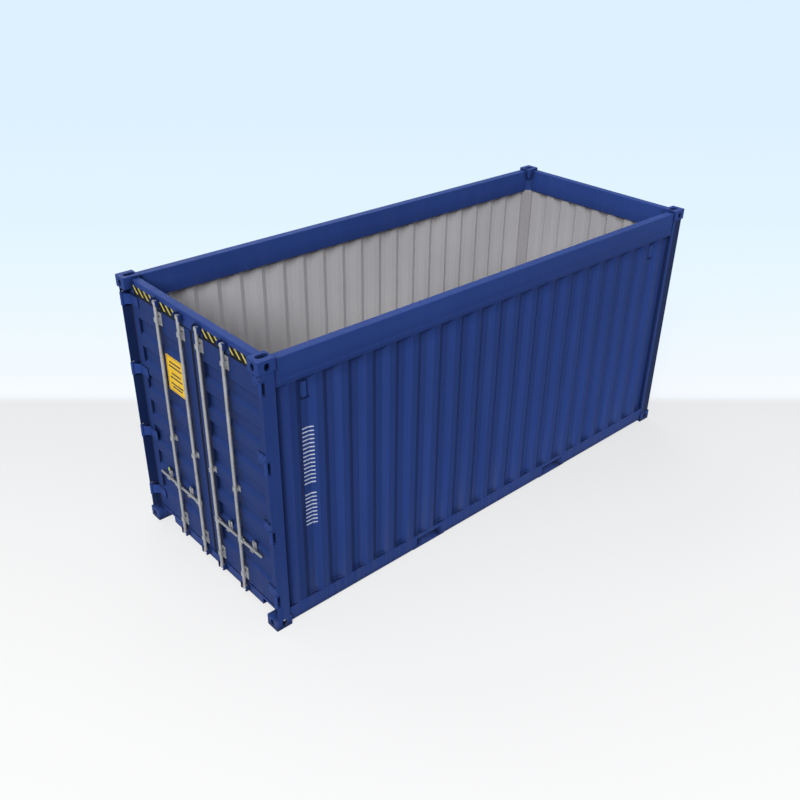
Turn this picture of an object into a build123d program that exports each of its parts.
from build123d import *
import math
import os

# Open-top shipping container, 20 ft long and 9 ft 6 in high, in millimetres.
# X runs along the container with the doors at its low end, Y runs across it and Z is up.
# The origin is the middle of the footprint, at the underside of the bottom corner castings.
# Left is the +Y side and right is the -Y side. Both sides are mirror images.

os.makedirs("parts", exist_ok=True)

# Overall size
LENGTH = 6058.0
WIDTH = 2438.0
HEIGHT = 2896.0

# Corner castings
CASTING_LENGTH = 178.0
CASTING_WIDTH = 162.0
CASTING_HEIGHT = 118.0
CASTING_PLATE = 28.0
CASTING_WALL = 16.0
CASTING_EDGE_CUT = 4.0
PLATE_HOLE_LENGTH = 124.0
PLATE_HOLE_WIDTH = 63.5
PLATE_HOLE_SETBACK = 102.5
PLATE_HOLE_INSET = 89.5
WALL_HOLE_HEIGHT = 74.0
WALL_HOLE_WIDTH = 51.0
HOLE_STEPS = 5
OVERCUT = 1.0

# Door-end corner posts, a pressed side plate with a box behind the leaf
POST_SETBACK = 3.0
POST_PLATE = 6.0
POST_FRONT_SETBACK = 22.0
POST_BOX_WIDTH = 50.0
POST_BOX_DEPTH = 40.0
POST_DEPTH = 136.0
NOTCH_DEPTH = 36.0
NOTCH_CLEARANCE = 2.0

# Closed-end corner posts
END_POST_SETBACK = 13.0
END_POST_PLATE = 6.0
END_POST_CHAMFER = 70.0

# Top rails
RAIL_DROP = 26.0
TOP_RAIL_DEPTH = 265.0
TOP_RAIL_WIDTH = 95.0
TOP_RAIL_LIP = 5.0
TOP_RAIL_LIP_HEIGHT = 35.0
TOP_RAIL_LIP_SLOPE = 28.0
TOP_RAIL_WALL = 4.0
BEND_CUT = 5.0
SIDE_SETBACK = 15.0
END_SETBACK = 15.0
END_RAIL_WIDTH = 85.0

# Bottom side rails, channels that open inwards
BOTTOM_RAIL_BOTTOM = 33.0
BOTTOM_RAIL_HEIGHT = 164.0
BOTTOM_RAIL_PLATE = 4.5
BOTTOM_RAIL_TOP_FLANGE = 44.0
BOTTOM_RAIL_BOTTOM_FLANGE = 48.0
END_SILL_WIDTH = 60.0

# Corrugated side walls
WALL_SHEET = 2.0
WALL_SETBACK = 2.0
WALL_DEPTH = 36.0
CREST_SPACING = 281.0
CREST_WIDTH = 72.0
CREST_SLOPE = 68.0
FIRST_CREST_SETBACK = 331.0
LAST_CREST_SETBACK = 385.0

# Corrugated end wall
END_WALL_DEPTH = 45.6
END_WALL_INSET = 3.0
END_CREST_SPACING = 250.0
END_CREST_MARGIN = 182.0
END_CREST_WIDTH = 110.0
END_CREST_SLOPE = 18.0

# Underframe and floor
CROSS_FLANGE = 45.0
CROSS_PLATE = 4.0
CROSS_PITCH = 285.0
FLOOR_THICKNESS = 28.0
FLOOR_BOTTOM = 157.0
FLOOR_GAP = 2.0
FLOOR_ROWS = 5
FLOOR_TUCK = 12.0
FLOOR_SETBACK = 180.0

# Fork pockets
POCKET_SPACING = 2050.0
POCKET_WIDTH = 360.0
POCKET_SIDE_PLATE = 4.0
POCKET_TOP_PLATE = 6.0
STRAP_THICKNESS = 6.0
STRAP_REACH = 248.0
STRAP_LAP = 50.0

# Vents high on the side walls, each a hood that is open at its foot
VENT_WIDTH = 66.0
VENT_FACE_WIDTH = 34.0
VENT_HEIGHT = 150.0
VENT_DROP = 50.0
VENT_DEPTH = 18.0
VENT_SHELL = 3.0

# Door header and sill
HEADER_SETBACK = 90.0
HEADER_DEPTH = 80.0
HEADER_HEIGHT = 155.0
HEADER_WALL = 4.0
SILL_BOTTOM = 50.0
SILL_TOP = 155.0
SILL_PLATE = 6.0
SILL_TOP_FLANGE = 88.0
SILL_BOTTOM_FLANGE = 60.0
SILL_NOTCH_WIDTH = 200.0
SILL_NOTCH_TOP = 125.0

# Door leaves
LEAF_SETBACK = 95.0
LEAF_THICKNESS = 50.0
LEAF_POST_GAP = 30.0
LEAF_HALF_GAP = 20.0
LEAF_TOP_GAP = 10.0
LEAF_BOTTOM_GAP = 10.0
OUTER_STILE = 100.0
INNER_STILE = 150.0
CROSS_RAIL = 150.0
LEAF_TUBE_WALL = 3.0
SWAGE_DEPTH = 26.0
SWAGE_SLOPE = 36.0
SWAGE_COUNT = 7
SWAGE_START_SHARE = 0.43
SWAGE_END_SHARE = 0.82
GASKET_GAP = 5.5
GASKET_SETBACK = 100.0
GASKET_THICKNESS = 24.0
DOOR_CLEARANCE = 5.0

# Hinges
PIN_SETBACK = 25.0
PIN_INSET = 21.0
PIN_RADIUS = 10.0
PIN_CLEARANCE = 0.3
BARREL_RADIUS = 16.0
BARREL_HEIGHT = 110.0
BARREL_STEPS = 12
LUG_THICKNESS = 14.0
LUG_GAP = 0.5
LUG_WEB = 8.0
LUG_WEB_GAP = 32.0
BLADE_THICKNESS = 10.0
BLADE_REACH = 150.0
LOW_HINGE_RISE = 186.0
HIGH_HINGE_DROP = 65.0
HINGE_SHARES = (0.0, 0.3325, 0.6605, 1.0)

# Locking bars, the same on both leaves
BAR_RADIUS = 17.0
BAR_SETBACK = 62.0
BAR_OFFSETS = {"outer": 577.0, "inner": 160.0}
BAR_BOTTOM = 90.0
BAR_TOP_DROP = 58.0
GUIDE_CLEARANCE = 0.4
GUIDE_SHEET = 6.0
GUIDE_WIDTH = 84.0
GUIDE_PLATE = 6.0
GUIDE_RING_HEIGHT = 44.0
LOW_GUIDE_HEIGHT = 150.0
LOW_GUIDE_RISE = 35.0
MIDDLE_GUIDE_HEIGHT = 60.0
MIDDLE_GUIDE_SHARE = 0.447
HIGH_GUIDE_HEIGHT = 135.0
HIGH_GUIDE_DROP = 15.0

# Cams and keepers
HUB_HALF = 20.0
CAM_REACH = 33.0
CAM_HEIGHT = 30.0
CAM_NOSE = 9.0
KEEPER_CLEARANCE = 7.0
KEEPER_HORN = 8.0
KEEPER_FOOT = 6.0
KEEPER_SETBACK = 44.0
KEEPER_TOOTH = 10.0
KEEPER_HEIGHT = 62.0
KEEPER_BAR_GAP = 10.0

# Handles
HANDLE_HEIGHT = 710.0
HANDLE_LENGTH = 370.0
HANDLE_THICKNESS = 14.0
HANDLE_DEPTH = 28.0
HANDLE_TIP_DEPTH = 20.0
HANDLE_TIP_CUT = 6.0
HANDLE_PIVOT = 44.0
HANDLE_PIN_RADIUS = 6.0
HANDLE_EYE_RADIUS = 15.0
EAR_THICKNESS = 6.0
EAR_GAP = 1.0
EAR_HEIGHT = 38.0
EAR_END = 62.0
COLLAR_HEIGHT = 60.0

# Handle retainers on the leaves
RETAINER_OFFSET = 210.0
RETAINER_WIDTH = 60.0
RETAINER_RISE = 72.0
RETAINER_DROP = 50.0
RETAINER_PLATE = 6.0
SHELF_THICKNESS = 6.0
SHELF_WIDTH = 50.0
SHELF_SETBACK = 48.0
CATCH_WIDTH = 24.0
CATCH_RISE = 25.0

# Places worked out from the sizes above
DOOR_END = -LENGTH / 2
CLOSED_END = LENGTH / 2
SIDE = WIDTH / 2
CASTING_INNER_Y = SIDE - CASTING_WIDTH
CASTING_TOP_Z = HEIGHT - CASTING_HEIGHT
RAIL_TOP = HEIGHT - RAIL_DROP
RAIL_UNDERSIDE = RAIL_TOP - TOP_RAIL_DEPTH
SIDE_FACE = SIDE - SIDE_SETBACK
TOP_RAIL_INNER = SIDE_FACE - TOP_RAIL_LIP - TOP_RAIL_WIDTH
BOTTOM_RAIL_TOP = BOTTOM_RAIL_BOTTOM + BOTTOM_RAIL_HEIGHT
CREST_FACE = SIDE_FACE - WALL_SETBACK
POST_FACE = SIDE - POST_SETBACK
POST_INNER = POST_FACE - POST_BOX_WIDTH
POST_BACK_X = DOOR_END + POST_FRONT_SETBACK + POST_DEPTH
POST_BOX_X = POST_BACK_X - POST_BOX_DEPTH
END_POST_FACE = SIDE - END_POST_SETBACK
END_POST_FRONT = CLOSED_END - CASTING_LENGTH
END_FACE = CLOSED_END - END_SETBACK
HEADER_X = DOOR_END + HEADER_SETBACK
HEADER_BOTTOM = RAIL_TOP - HEADER_HEIGHT
LEAF_X = DOOR_END + LEAF_SETBACK
LEAF_BACK = LEAF_X + LEAF_THICKNESS
LEAF_OUTER = POST_INNER - LEAF_POST_GAP
LEAF_TOP = HEADER_BOTTOM - LEAF_TOP_GAP
LEAF_BOTTOM = SILL_TOP + LEAF_BOTTOM_GAP
LEAF_HEIGHT = LEAF_TOP - LEAF_BOTTOM
LOW_HINGE = LEAF_BOTTOM + LOW_HINGE_RISE
HIGH_HINGE = LEAF_TOP - HIGH_HINGE_DROP
HINGE_HEIGHTS = [LOW_HINGE + (HIGH_HINGE - LOW_HINGE) * share for share in HINGE_SHARES]
PIN_X = DOOR_END + PIN_SETBACK
PIN_Y = SIDE - PIN_INSET
BAR_X = DOOR_END + BAR_SETBACK
BAR_TOP = RAIL_TOP - BAR_TOP_DROP
CREST_RUN = LENGTH - FIRST_CREST_SETBACK - LAST_CREST_SETBACK
CREST_COUNT = round(CREST_RUN / CREST_SPACING) + 1
CREST_PITCH = CREST_RUN / (CREST_COUNT - 1)
FIRST_CREST_X = DOOR_END + FIRST_CREST_SETBACK
END_CREST_RUN = 2 * (CASTING_INNER_Y - END_CREST_MARGIN)
END_CREST_COUNT = round(END_CREST_RUN / END_CREST_SPACING) + 1
END_CREST_PITCH = END_CREST_RUN / (END_CREST_COUNT - 1)


# Helpers

def block(x_range, y_range, z_range):
    """A box between two limits on each axis."""
    size = [high - low for low, high in (x_range, y_range, z_range)]
    middle = [(high + low) / 2 for low, high in (x_range, y_range, z_range)]
    return Pos(*middle) * Box(*size)


def outline(points):
    """A flat face inside a closed line of points."""
    return make_face(Polyline(*points, close=True))


def beside(points, offset):
    """The line that runs at an offset to the left of a bent line, mitred at its bends."""
    ways = [(Vector(*b) - Vector(*a)).normalized() for a, b in zip(points, points[1:])]
    moved = []
    for point, way_in, way_out in zip(points, [ways[0]] + ways, ways + [ways[-1]]):
        across = Vector(-way_in.Y, way_in.X)
        middle = Vector(-way_in.Y - way_out.Y, way_in.X + way_out.X).normalized()
        moved.append(Vector(*point) + middle * (offset / middle.dot(across)))
    return [(spot.X, spot.Y) for spot in moved]


def bent_sheet(points, thickness):
    """The section of a sheet bent along a line, its thickness to the left of the line."""
    return outline(list(points) + list(reversed(beside(points, thickness))))


def tube_section(points, wall):
    """A closed section with a wall all round. Points run anticlockwise."""
    ring = list(points) + [points[0], points[1]]
    inner = beside(ring, wall)[1:-1]
    return outline(points) - outline(inner)


def rectangle(a_range, b_range):
    """The corners of a rectangle, anticlockwise."""
    (a0, a1), (b0, b1) = a_range, b_range
    return [(a0, b0), (a1, b0), (a1, b1), (a0, b1)]


def folded_rectangle(a_range, b_range):
    """A rectangle whose corners are cut across, as the bends of a pressed tube."""
    points = []
    for (a, b), (step_a, step_b) in zip(rectangle(a_range, b_range), ((1, 1), (-1, 1), (-1, -1), (1, -1))):
        pair = [(a, b + step_b * BEND_CUT), (a + step_a * BEND_CUT, b)]
        points += pair if step_a == step_b else reversed(pair)
    return points


def arc_points(centre, radius, start, finish, steps):
    """Points along an arc, from one angle to another in degrees."""
    angles = [math.radians(start + (finish - start) * step / steps) for step in range(steps + 1)]
    return [(centre[0] + radius * math.cos(angle), centre[1] + radius * math.sin(angle)) for angle in angles]


def long_hole(centre, length, width, upright=False):
    """A long hole whose round ends are drawn in short steps."""
    reach = (length - width) / 2
    points = arc_points((reach, 0.0), width / 2, -90, 90, HOLE_STEPS)
    points += arc_points((-reach, 0.0), width / 2, 90, 270, HOLE_STEPS)
    return Pos(*centre) * Rot(0, 0, 90 if upright else 0) * outline(points)


def along_x(section, start, end):
    """A Y-Z section carried along X."""
    return extrude(Plane.YZ.offset(start) * section, end - start)


def along_y(section, start, end):
    """An X-Z section carried along Y."""
    return extrude(Plane.XZ.offset(-end) * section, end - start)


def along_z(section, start, end):
    """An X-Y section carried along Z."""
    return extrude(Plane.XY.offset(start) * section, end - start)


def to_right(shapes):
    """The right-hand copy of left-hand pieces."""
    return [mirror(shape, about=Plane.XZ) for shape in shapes]


def both_ends(shape):
    """A piece at the door end and its copy at the closed end."""
    return [shape, mirror(shape, about=Plane.YZ)]


def save(name, shapes):
    """Write a node's solids to one file."""
    solids = [solid for shape in shapes for solid in shape.solids()]
    body = solids[0] if len(solids) == 1 else Compound(children=solids)
    export_step(body, f"parts/{name}.step")


# Corner castings

def casting(plate_down):
    """One hollow casting at the left door corner, with a long hole in its plate
    and an upright one in its side and end walls."""
    if plate_down:
        low = 0.0
        cavity_z = (low + CASTING_PLATE, low + CASTING_HEIGHT - CASTING_WALL)
        hole_z = (low - OVERCUT, low + CASTING_PLATE + OVERCUT)
    else:
        low = CASTING_TOP_Z
        cavity_z = (low + CASTING_WALL, HEIGHT - CASTING_PLATE)
        hole_z = (HEIGHT - CASTING_PLATE - OVERCUT, HEIGHT + OVERCUT)
    back = DOOR_END + CASTING_LENGTH
    middle_z = (cavity_z[0] + cavity_z[1]) / 2
    solid = block((DOOR_END, back), (CASTING_INNER_Y, SIDE), (low, low + CASTING_HEIGHT))
    solid = chamfer(solid.edges().filter_by(Axis.Z), CASTING_EDGE_CUT)
    cavity_x = (DOOR_END + CASTING_WALL, back - CASTING_WALL)
    solid -= block(cavity_x, (CASTING_INNER_Y + CASTING_WALL, SIDE - CASTING_WALL), cavity_z)
    plate_centre = (DOOR_END + PLATE_HOLE_SETBACK, SIDE - PLATE_HOLE_INSET)
    solid -= along_z(long_hole(plate_centre, PLATE_HOLE_LENGTH, PLATE_HOLE_WIDTH), *hole_z)
    side_centre = (DOOR_END + CASTING_LENGTH / 2, middle_z)
    side_hole = long_hole(side_centre, WALL_HOLE_HEIGHT, WALL_HOLE_WIDTH, upright=True)
    solid -= along_y(side_hole, SIDE - CASTING_WALL - OVERCUT, SIDE + OVERCUT)
    end_centre = (SIDE - CASTING_WIDTH / 2, middle_z)
    end_hole = long_hole(end_centre, WALL_HOLE_HEIGHT, WALL_HOLE_WIDTH, upright=True)
    solid -= along_x(end_hole, DOOR_END - OVERCUT, DOOR_END + CASTING_WALL + OVERCUT)
    return solid


def castings(plate_down):
    """The four castings of one level."""
    left_pair = both_ends(casting(plate_down))
    return left_pair + to_right(left_pair)


def without_castings(shape):
    """A piece cut back to the faces of the eight castings."""
    for x_range in ((DOOR_END, DOOR_END + CASTING_LENGTH), (END_POST_FRONT, CLOSED_END)):
        for y_range in ((CASTING_INNER_Y, SIDE), (-SIDE, -CASTING_INNER_Y)):
            shape -= block(x_range, y_range, (0.0, CASTING_HEIGHT))
            shape -= block(x_range, y_range, (CASTING_TOP_Z, HEIGHT))
    return shape


# Corner posts

def lug_reach():
    """Half the height that a hinge takes up, lugs included."""
    return BARREL_HEIGHT / 2 + LUG_GAP + LUG_THICKNESS


def door_post():
    """Left door post: side plate, box behind the leaf and a notch at each hinge."""
    front = DOOR_END + POST_FRONT_SETBACK
    inside = POST_FACE - POST_PLATE
    section = outline([
        (front, inside), (POST_BOX_X, inside), (POST_BOX_X, POST_INNER),
        (POST_BACK_X, POST_INNER), (POST_BACK_X, POST_FACE), (front, POST_FACE)])
    section -= outline(rectangle(
        (POST_BOX_X + POST_PLATE, POST_BACK_X - POST_PLATE), (POST_INNER + POST_PLATE, inside)))
    post = along_z(section, CASTING_HEIGHT, CASTING_TOP_Z)
    reach = lug_reach() + NOTCH_CLEARANCE
    notch_y = (inside - OVERCUT, SIDE)
    for height in HINGE_HEIGHTS:
        post -= block((front - OVERCUT, front + NOTCH_DEPTH), notch_y, (height - reach, height + reach))
    return post


def hinge_lugs():
    """Left brackets: a lug above and below each blade, the pin, and a web behind the blade."""
    low_y = PIN_Y - BARREL_RADIUS
    high_y = POST_FACE - POST_PLATE
    nose = arc_points((PIN_X, PIN_Y), BARREL_RADIUS, 90, 270, HOLE_STEPS)
    lug = outline([(POST_BOX_X, low_y), (POST_BOX_X, high_y), (PIN_X + BARREL_RADIUS, high_y)] + nose)
    web_x = (PIN_X + LUG_WEB_GAP, PIN_X + LUG_WEB_GAP + LUG_WEB)
    web = outline(rectangle(web_x, (low_y, high_y)))
    pieces = []
    for height in HINGE_HEIGHTS:
        inner = BARREL_HEIGHT / 2 + LUG_GAP
        bracket = along_z(lug, height + inner, height + lug_reach())
        bracket += along_z(lug, height - lug_reach(), height - inner)
        bracket += along_z(web, height - inner, height + inner)
        bracket += along_z(Pos(PIN_X, PIN_Y) * Circle(PIN_RADIUS), height - inner, height + inner)
        pieces.append(bracket)
    return pieces


def end_post():
    """Left closed-end post: a hollow pressed section with its inner corner cut off."""
    back = CLOSED_END - END_POST_SETBACK
    section = tube_section([
        (END_POST_FRONT, END_POST_FACE - END_POST_CHAMFER), (back - END_POST_CHAMFER, CASTING_INNER_Y),
        (back, CASTING_INNER_Y), (back, END_POST_FACE - BEND_CUT), (back - BEND_CUT, END_POST_FACE),
        (END_POST_FRONT, END_POST_FACE)], END_POST_PLATE)
    return along_z(section, CASTING_HEIGHT, CASTING_TOP_Z)


# Rails

def top_side_rail():
    """Left top rail, a hollow section whose lower edge steps out to meet the wall."""
    outer = SIDE_FACE - TOP_RAIL_LIP
    lip_top = RAIL_UNDERSIDE + TOP_RAIL_LIP_HEIGHT
    section = tube_section([
        (TOP_RAIL_INNER, RAIL_UNDERSIDE), (SIDE_FACE, RAIL_UNDERSIDE), (SIDE_FACE, lip_top),
        (outer, lip_top + TOP_RAIL_LIP_SLOPE), (outer, RAIL_TOP - BEND_CUT), (outer - BEND_CUT, RAIL_TOP),
        (TOP_RAIL_INNER + BEND_CUT, RAIL_TOP), (TOP_RAIL_INNER, RAIL_TOP - BEND_CUT)], TOP_RAIL_WALL)
    return without_castings(along_x(section, POST_BACK_X, END_POST_FRONT))


def end_top_rail():
    """Top rail across the closed end."""
    x_range = (END_FACE - END_RAIL_WIDTH, END_FACE)
    low, high = x_range
    section = tube_section([
        (low, RAIL_UNDERSIDE), (high, RAIL_UNDERSIDE), (high, RAIL_TOP - BEND_CUT),
        (high - BEND_CUT, RAIL_TOP), (low + BEND_CUT, RAIL_TOP), (low, RAIL_TOP - BEND_CUT)], TOP_RAIL_WALL)
    return along_y(section, -CASTING_INNER_Y, CASTING_INNER_Y)


def end_bottom_rail():
    """Bottom rail across the closed end."""
    x_range = (END_FACE - END_SILL_WIDTH, END_FACE)
    section = tube_section(rectangle(x_range, (BOTTOM_RAIL_BOTTOM, BOTTOM_RAIL_TOP)), TOP_RAIL_WALL)
    return along_y(section, -CASTING_INNER_Y, CASTING_INNER_Y)


def bottom_side_rail():
    """Left bottom rail, a channel with an opening at each fork pocket."""
    section = bent_sheet([
        (SIDE_FACE - BOTTOM_RAIL_BOTTOM_FLANGE, BOTTOM_RAIL_BOTTOM), (SIDE_FACE, BOTTOM_RAIL_BOTTOM),
        (SIDE_FACE, BOTTOM_RAIL_TOP), (SIDE_FACE - BOTTOM_RAIL_TOP_FLANGE, BOTTOM_RAIL_TOP)],
        BOTTOM_RAIL_PLATE)
    rail = without_castings(along_x(section, POST_BACK_X, END_POST_FRONT))
    for centre in pocket_centres():
        opening = (centre - POCKET_WIDTH / 2, centre + POCKET_WIDTH / 2)
        rail -= block(opening, (0.0, SIDE), (0.0, FLOOR_BOTTOM - POCKET_TOP_PLATE))
    return rail


def header():
    """Box beam over the doors, notched round the top castings and the side rails."""
    section = tube_section(
        folded_rectangle((HEADER_X, HEADER_X + HEADER_DEPTH), (HEADER_BOTTOM, RAIL_TOP)), HEADER_WALL)
    beam = without_castings(along_y(section, -POST_INNER, POST_INNER))
    corner = block((POST_BACK_X, CLOSED_END), (TOP_RAIL_INNER, SIDE), (0.0, HEIGHT))
    return beam - corner - mirror(corner, about=Plane.XZ)


def sill():
    """Channel under the doors, cut away beside the bottom castings."""
    section = bent_sheet([
        (HEADER_X + SILL_TOP_FLANGE, SILL_TOP), (HEADER_X, SILL_TOP),
        (HEADER_X, SILL_BOTTOM), (HEADER_X + SILL_BOTTOM_FLANGE, SILL_BOTTOM)], SILL_PLATE)
    beam = without_castings(along_y(section, -POST_INNER, POST_INNER))
    notch = block(
        (DOOR_END, HEADER_X + CASTING_LENGTH), (CASTING_INNER_Y - SILL_NOTCH_WIDTH, CASTING_INNER_Y),
        (0.0, SILL_NOTCH_TOP))
    return beam - notch - mirror(notch, about=Plane.XZ)


# Walls

def corrugation(first, pitch, count, crest, slope, depth, start, end):
    """Points of a corrugated line. It starts and ends in a trough, depth below zero."""
    points = [(start, -depth)]
    for number in range(count):
        centre = first + number * pitch
        points.append((centre - crest / 2 - slope, -depth))
        points.append((centre - crest / 2, 0.0))
        points.append((centre + crest / 2, 0.0))
        points.append((centre + crest / 2 + slope, -depth))
    points.append((end, -depth))
    return points


def side_wall():
    """Left side wall, one sheet with upright corrugations."""
    line = corrugation(
        FIRST_CREST_X, CREST_PITCH, CREST_COUNT, CREST_WIDTH, CREST_SLOPE, WALL_DEPTH,
        POST_BACK_X, END_POST_FRONT)
    section = bent_sheet([(x, CREST_FACE + rise) for x, rise in line], -WALL_SHEET)
    return along_z(section, BOTTOM_RAIL_TOP, RAIL_UNDERSIDE)


def end_wall():
    """Closed-end wall, one sheet with deeper corrugations."""
    line = corrugation(
        -END_CREST_RUN / 2, END_CREST_PITCH, END_CREST_COUNT, END_CREST_WIDTH, END_CREST_SLOPE,
        END_WALL_DEPTH, -CASTING_INNER_Y, CASTING_INNER_Y)
    section = bent_sheet([(END_FACE - END_WALL_INSET + rise, y) for y, rise in line], WALL_SHEET)
    return along_z(section, BOTTOM_RAIL_TOP, RAIL_UNDERSIDE)


def vent(centre):
    """One left vent: a hood on a trough, with sloping cheeks and an open foot."""
    trough = CREST_FACE - WALL_DEPTH
    high = RAIL_UNDERSIDE - VENT_DROP
    low = high - VENT_HEIGHT
    line = [
        (centre + VENT_WIDTH / 2, trough), (centre + VENT_FACE_WIDTH / 2, trough + VENT_DEPTH),
        (centre - VENT_FACE_WIDTH / 2, trough + VENT_DEPTH), (centre - VENT_WIDTH / 2, trough)]
    inner = [
        (centre + VENT_WIDTH / 2 - 2 * VENT_SHELL, trough - OVERCUT),
        (centre + VENT_FACE_WIDTH / 2 - VENT_SHELL, trough + VENT_DEPTH - VENT_SHELL),
        (centre - VENT_FACE_WIDTH / 2 + VENT_SHELL, trough + VENT_DEPTH - VENT_SHELL),
        (centre - VENT_WIDTH / 2 + 2 * VENT_SHELL, trough - OVERCUT)]
    return along_z(outline(line), low, high) - along_z(outline(inner), low - OVERCUT, high - VENT_SHELL)


# Floor and underframe

def pocket_centres():
    """Middle of each fork pocket along X."""
    return (-POCKET_SPACING / 2, POCKET_SPACING / 2)


def web_inner():
    """Inner face of a bottom rail's upright web."""
    return SIDE_FACE - BOTTOM_RAIL_PLATE


def cross_member(place):
    """One channel between the bottom rails, standing on their flanges."""
    bottom = BOTTOM_RAIL_BOTTOM + BOTTOM_RAIL_PLATE
    section = bent_sheet([
        (place + CROSS_FLANGE, FLOOR_BOTTOM), (place, FLOOR_BOTTOM),
        (place, bottom), (place + CROSS_FLANGE, bottom)], CROSS_PLATE)
    return along_y(section, -web_inner(), web_inner())


def cross_members():
    """Evenly spaced channels in the three bays between the sill, the pockets and the end."""
    half_pocket = POCKET_WIDTH / 2 + POCKET_SIDE_PLATE
    near, far = pocket_centres()
    bays = (
        (DOOR_END + CASTING_LENGTH, near - half_pocket),
        (near + half_pocket, far - half_pocket),
        (far + half_pocket, END_POST_FRONT))
    members = []
    for start, end in bays:
        count = round((end - start) / CROSS_PITCH) - 1
        step = (end - start) / (count + 1)
        members += [cross_member(start + step * (number + 1) - CROSS_FLANGE / 2) for number in range(count)]
    return members


def fork_pocket(centre):
    """One tunnel across the underframe: top plate, two sides and a strap at each end."""
    bottom = BOTTOM_RAIL_BOTTOM + BOTTOM_RAIL_PLATE
    half = POCKET_WIDTH / 2
    section = bent_sheet([
        (centre + half, bottom), (centre + half, FLOOR_BOTTOM - POCKET_TOP_PLATE),
        (centre - half, FLOOR_BOTTOM - POCKET_TOP_PLATE), (centre - half, bottom)], -POCKET_SIDE_PLATE)
    tunnel = along_y(section, -web_inner(), web_inner())
    strap = block(
        (centre - half - STRAP_LAP, centre + half + STRAP_LAP), (SIDE_FACE - STRAP_REACH, SIDE_FACE),
        (BOTTOM_RAIL_BOTTOM - STRAP_THICKNESS, BOTTOM_RAIL_BOTTOM))
    return [tunnel, strap, mirror(strap, about=Plane.XZ)]


def floor_panels():
    """Plywood panels in rows of two, with small gaps between them."""
    start = DOOR_END + FLOOR_SETBACK
    end = END_FACE - END_SILL_WIDTH
    edge = web_inner() - FLOOR_TUCK
    length = (end - start) / FLOOR_ROWS
    post_corner = block((END_POST_FRONT, CLOSED_END), (CASTING_INNER_Y, SIDE), (0.0, HEIGHT))
    z_range = (FLOOR_BOTTOM, FLOOR_BOTTOM + FLOOR_THICKNESS)
    panels = []
    for number in range(FLOOR_ROWS):
        x_range = (start + length * number, start + length * (number + 1) - FLOOR_GAP)
        panels.append(block(x_range, (FLOOR_GAP / 2, edge), z_range) - post_corner)
    return panels + to_right(panels)


# Door leaves, left side

def leaf_frame():
    """Welded frame of the left leaf, from square-cornered tubes."""
    x_range = (LEAF_X, LEAF_BACK)
    stile_z = (LEAF_BOTTOM, LEAF_TOP)
    inner = (LEAF_HALF_GAP, LEAF_HALF_GAP + INNER_STILE)
    outer = (LEAF_OUTER - OUTER_STILE, LEAF_OUTER)
    frame = along_z(tube_section(rectangle(x_range, inner), LEAF_TUBE_WALL), *stile_z)
    frame += along_z(tube_section(rectangle(x_range, outer), LEAF_TUBE_WALL), *stile_z)
    for z_range in ((LEAF_BOTTOM, LEAF_BOTTOM + CROSS_RAIL), (LEAF_TOP - CROSS_RAIL, LEAF_TOP)):
        frame += along_y(tube_section(rectangle(x_range, z_range), LEAF_TUBE_WALL), inner[1], outer[0])
    return frame


def leaf_panel():
    """Left leaf's sheet with level swages. Its crests are flush with the frame."""
    bottom = LEAF_BOTTOM + CROSS_RAIL
    top = LEAF_TOP - CROSS_RAIL
    pitch = (top - bottom) / (SWAGE_START_SHARE + SWAGE_COUNT - 1 + SWAGE_END_SHARE)
    half = SWAGE_SLOPE / 2
    points = [(bottom, 0.0)]
    for number in range(SWAGE_COUNT):
        lower = bottom + pitch * (number + SWAGE_START_SHARE)
        upper = lower + pitch / 2
        points += [(lower - half, 0.0), (lower + half, SWAGE_DEPTH)]
        points += [(upper - half, SWAGE_DEPTH), (upper + half, 0.0)]
    points.append((top, 0.0))
    section = bent_sheet([(LEAF_X + depth, z) for z, depth in points], -WALL_SHEET)
    return along_y(section, LEAF_HALF_GAP + INNER_STILE, LEAF_OUTER - OUTER_STILE)


def leaf_gasket():
    """Rubber seal round the left leaf's edges."""
    lip = outline(rectangle(
        (GASKET_GAP, POST_INNER - GASKET_GAP), (SILL_TOP + GASKET_GAP, HEADER_BOTTOM - GASKET_GAP)))
    lip -= outline(rectangle((LEAF_HALF_GAP, LEAF_OUTER), (LEAF_BOTTOM, LEAF_TOP)))
    return along_x(lip, DOOR_END + GASKET_SETBACK, DOOR_END + GASKET_SETBACK + GASKET_THICKNESS)


def hinge_blades():
    """Left blades: a plate on the leaf, cranked forward to a barrel round the pin."""
    half = BLADE_THICKNESS / 2
    line = [(LEAF_X - half, LEAF_OUTER - BLADE_REACH), (LEAF_X - half, LEAF_OUTER), (PIN_X, PIN_Y)]
    arm = outline(beside(line, half) + list(reversed(beside(line, -half))))
    barrel = outline(arc_points((PIN_X, PIN_Y), BARREL_RADIUS, 0, 360, BARREL_STEPS)[:-1])
    hole = Pos(PIN_X, PIN_Y) * Circle(PIN_RADIUS + PIN_CLEARANCE)
    section = arm + barrel - hole
    half_height = BARREL_HEIGHT / 2
    return [along_z(section, height - half_height, height + half_height) for height in HINGE_HEIGHTS]


def guide_ring(offset):
    """Section of a guide's ring: a block on the plate, open behind the bar."""
    bore = BAR_RADIUS + GUIDE_CLEARANCE
    shell = bore + GUIDE_SHEET
    front = BAR_X - shell
    back = LEAF_X - GUIDE_PLATE
    ring = outline([
        (back, offset - shell), (back, offset + shell), (front + shell / 2, offset + shell),
        (front, offset + shell / 2), (front, offset - shell / 2), (front + shell / 2, offset - shell)])
    ring -= Pos(BAR_X, offset) * Circle(bore)
    return ring - outline(rectangle((BAR_X, back + OVERCUT), (offset - bore, offset + bore)))


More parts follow.
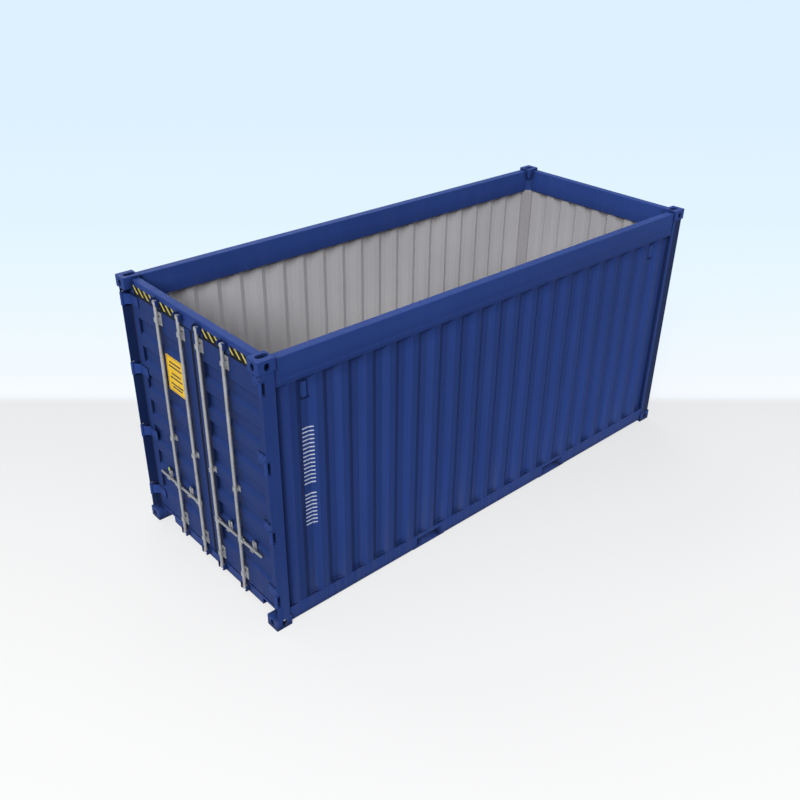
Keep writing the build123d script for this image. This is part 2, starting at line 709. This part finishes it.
def bar_guides():
    """Guides of both bars on the left leaf: a plate, with a ring round the bar at its middle."""
    middle = LEAF_BOTTOM + MIDDLE_GUIDE_SHARE * LEAF_HEIGHT
    low = LEAF_BOTTOM + LOW_GUIDE_RISE
    high = LEAF_TOP - HIGH_GUIDE_DROP
    spans = (
        (low, low + LOW_GUIDE_HEIGHT), (middle - MIDDLE_GUIDE_HEIGHT / 2, middle + MIDDLE_GUIDE_HEIGHT / 2),
        (high - HIGH_GUIDE_HEIGHT, high))
    guides = []
    for offset in BAR_OFFSETS.values():
        for bottom, top in spans:
            ring_low = (bottom + top - GUIDE_RING_HEIGHT) / 2
            plate_y = (offset - GUIDE_WIDTH / 2, offset + GUIDE_WIDTH / 2)
            plate = block((LEAF_X - GUIDE_PLATE, LEAF_X), plate_y, (bottom, top))
            guides.append(plate + along_z(guide_ring(offset), ring_low, ring_low + GUIDE_RING_HEIGHT))
    return guides


def handle_retainer(offset):
    """Plate, shelf under the handle and raised catch behind it, on the left leaf."""
    middle = offset + RETAINER_OFFSET
    plate_front = LEAF_X - RETAINER_PLATE
    top = HANDLE_HEIGHT + RETAINER_RISE
    plate = block(
        (plate_front, LEAF_X), (middle - RETAINER_WIDTH / 2, middle + RETAINER_WIDTH / 2),
        (HANDLE_HEIGHT - RETAINER_DROP, top))
    shelf_top = HANDLE_HEIGHT - HANDLE_DEPTH / 2 - DOOR_CLEARANCE
    shelf = block(
        (DOOR_END + SHELF_SETBACK, plate_front), (middle - SHELF_WIDTH / 2, middle + SHELF_WIDTH / 2),
        (shelf_top - SHELF_THICKNESS, shelf_top))
    catch_front = BAR_X + HANDLE_THICKNESS / 2 + DOOR_CLEARANCE
    catch = block(
        (catch_front, plate_front), (middle - CATCH_WIDTH / 2, middle + CATCH_WIDTH / 2),
        (HANDLE_HEIGHT + CATCH_RISE, top))
    return plate + shelf + catch


# Locking gear, left side

def hub_points(offset):
    """Eight corners of a forged hub round a bar, from its inner side anticlockwise seen from above."""
    corner = HUB_HALF / 2
    ring = [
        (-HUB_HALF, corner), (-HUB_HALF, -corner), (-corner, -HUB_HALF), (corner, -HUB_HALF),
        (HUB_HALF, -corner), (HUB_HALF, corner), (corner, HUB_HALF), (-corner, HUB_HALF)]
    return [(BAR_X + x, offset + y) for x, y in ring]


def cam(offset, low):
    """One cam: a hub at the bar's end with a nose towards the hinges."""
    tip = offset + CAM_REACH
    nose = [
        (BAR_X + CAM_NOSE, tip - CAM_NOSE / 2), (BAR_X + CAM_NOSE / 2, tip),
        (BAR_X - CAM_NOSE / 2, tip), (BAR_X - CAM_NOSE, tip - CAM_NOSE / 2)]
    return along_z(outline(hub_points(offset)[:6] + nose), low, low + CAM_HEIGHT)


def locking_bar(offset):
    """Bar with a cam at each end, and a hub with two ears and a pin for the handle."""
    bar = along_z(Pos(BAR_X, offset) * Circle(BAR_RADIUS), BAR_BOTTOM, BAR_TOP)
    bar += cam(offset, BAR_BOTTOM)
    bar += cam(offset, BAR_TOP - CAM_HEIGHT)
    half_collar = COLLAR_HEIGHT / 2
    bar += along_z(outline(hub_points(offset)), HANDLE_HEIGHT - half_collar, HANDLE_HEIGHT + half_collar)
    gap = HANDLE_THICKNESS / 2 + EAR_GAP
    y_range = (offset, offset + EAR_END)
    z_range = (HANDLE_HEIGHT - EAR_HEIGHT / 2, HANDLE_HEIGHT + EAR_HEIGHT / 2)
    for x_range in ((BAR_X - gap - EAR_THICKNESS, BAR_X - gap), (BAR_X + gap, BAR_X + gap + EAR_THICKNESS)):
        bar += block(x_range, y_range, z_range)
    pin = Pos(offset + HANDLE_PIVOT, HANDLE_HEIGHT) * Circle(HANDLE_PIN_RADIUS)
    return bar + along_x(pin, BAR_X - gap, BAR_X + gap)


def handle(offset):
    """Flat tapering lever with an eye on the bar's pin, pointing to the hinges."""
    pivot = offset + HANDLE_PIVOT
    tip = offset + HANDLE_LENGTH
    half = HANDLE_TIP_DEPTH / 2
    face = outline([
        (pivot, HANDLE_HEIGHT - HANDLE_DEPTH / 2), (tip - HANDLE_TIP_CUT, HANDLE_HEIGHT - half),
        (tip, HANDLE_HEIGHT - half + HANDLE_TIP_CUT), (tip, HANDLE_HEIGHT + half - HANDLE_TIP_CUT),
        (tip - HANDLE_TIP_CUT, HANDLE_HEIGHT + half), (pivot, HANDLE_HEIGHT + HANDLE_DEPTH / 2)])
    face += outline(arc_points((pivot, HANDLE_HEIGHT), HANDLE_EYE_RADIUS, 0, 360, BARREL_STEPS)[:-1])
    face -= Pos(pivot, HANDLE_HEIGHT) * Circle(HANDLE_PIN_RADIUS + PIN_CLEARANCE)
    return along_x(face, BAR_X - HANDLE_THICKNESS / 2, BAR_X + HANDLE_THICKNESS / 2)


def keeper_horn(offset, base_z, tooth_z, side):
    """One horn of a keeper: a foot on the beam, a plate beside the cam and a tooth past its end."""
    wall = CAM_REACH + KEEPER_CLEARANCE
    tooth = BAR_RADIUS + KEEPER_BAR_GAP

    def across(near, far):
        """Y limits on the chosen side of the bar."""
        return tuple(sorted((offset + side * near, offset + side * far)))

    foot_front = HEADER_X - KEEPER_FOOT
    front = DOOR_END + KEEPER_SETBACK
    horn = block((foot_front, HEADER_X), across(tooth, wall + KEEPER_HORN), base_z)
    horn += block((front, foot_front), across(wall, wall + KEEPER_HORN), base_z)
    horn += block((front, front + KEEPER_TOOTH), across(tooth, wall), tooth_z)
    return horn


def keepers(middle, tooth_side):
    """Keepers of all four bars on the header or the sill."""
    base_z = (middle - KEEPER_HEIGHT / 2, middle + KEEPER_HEIGHT / 2)
    low, high = base_z
    tooth_z = (high - KEEPER_TOOTH, high) if tooth_side > 0 else (low, low + KEEPER_TOOTH)
    left = [
        keeper_horn(offset, base_z, tooth_z, side) for offset in BAR_OFFSETS.values() for side in (-1, 1)]
    return left + to_right(left)


# Build and write every node

save("bottom_castings", castings(plate_down=True))
save("top_castings", castings(plate_down=False))
save("door_header", [header()])
save("header_keepers", keepers(BAR_TOP - CAM_HEIGHT / 2, tooth_side=1))
save("door_sill", [sill()])
save("sill_keepers", keepers(BAR_BOTTOM + CAM_HEIGHT / 2, tooth_side=-1))
save("end_top_rail", [end_top_rail()])
save("end_bottom_rail", [end_bottom_rail()])
save("end_wall", [end_wall()])
save("floor_panels", floor_panels())
save("cross_members", cross_members())
save("fork_pockets", [piece for centre in pocket_centres() for piece in fork_pocket(centre)])

last_crest_x = FIRST_CREST_X + CREST_RUN
vents = [vent(FIRST_CREST_X + CREST_PITCH / 2), vent(last_crest_x - CREST_PITCH / 2)]
save("side_vents", vents + to_right(vents))

left_nodes = {
    "door_post": [door_post()],
    "hinge_lugs": hinge_lugs(),
    "end_post": [end_post()],
    "top_rail": [top_side_rail()],
    "bottom_rail": [bottom_side_rail()],
    "side_wall": [side_wall()],
    "door_frame": [leaf_frame()],
    "door_panel": [leaf_panel()],
    "door_gasket": [leaf_gasket()],
    "hinge_blades": hinge_blades(),
    "bar_guides": bar_guides(),
    "handle_retainers": [handle_retainer(offset) for offset in BAR_OFFSETS.values()],
}
for place, offset in BAR_OFFSETS.items():
    left_nodes[f"{place}_bar"] = [locking_bar(offset)]
    left_nodes[f"{place}_handle"] = [handle(offset)]

for name, shapes in left_nodes.items():
    save(f"left_{name}", shapes)
    save(f"right_{name}", to_right(shapes))
